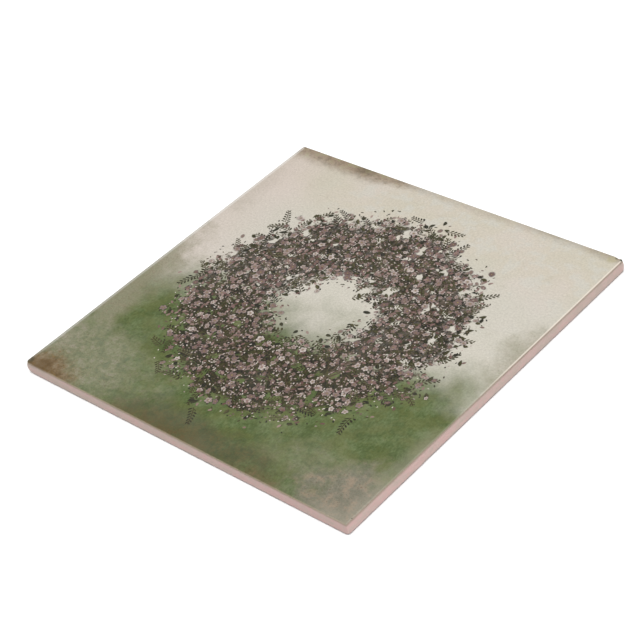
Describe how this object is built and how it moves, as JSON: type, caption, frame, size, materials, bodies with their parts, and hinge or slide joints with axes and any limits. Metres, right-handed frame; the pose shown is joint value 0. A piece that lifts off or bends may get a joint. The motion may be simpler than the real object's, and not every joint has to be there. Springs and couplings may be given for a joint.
{
  "type": "ceramic tile",
  "caption": "Square glazed ceramic tile with a printed blossom wreath on its face, a pink unglazed body and a grid pressed into its back.",
  "frame": {"origin": "middle of the underside, in the plane of the flat border and ribs of the back", "axes": "+Z out of the glazed face; +Y towards the top of the printed design, which is the far left edge in the picture; +X towards the design's right, which is the near right edge in the picture"},
  "size_m": [0.1524, 0.1524, 0.005],
  "materials": {
    "biscuit": "unglazed pink clay, matte and slightly mottled",
    "glaze": "satin gloss glaze with a faded print in cream, moss green and dusky mauve, cream at the rim"
  },
  "bodies": {
    "root": {"biscuit": "biscuit", "glaze": "glaze"}
  },
  "joints": []
}
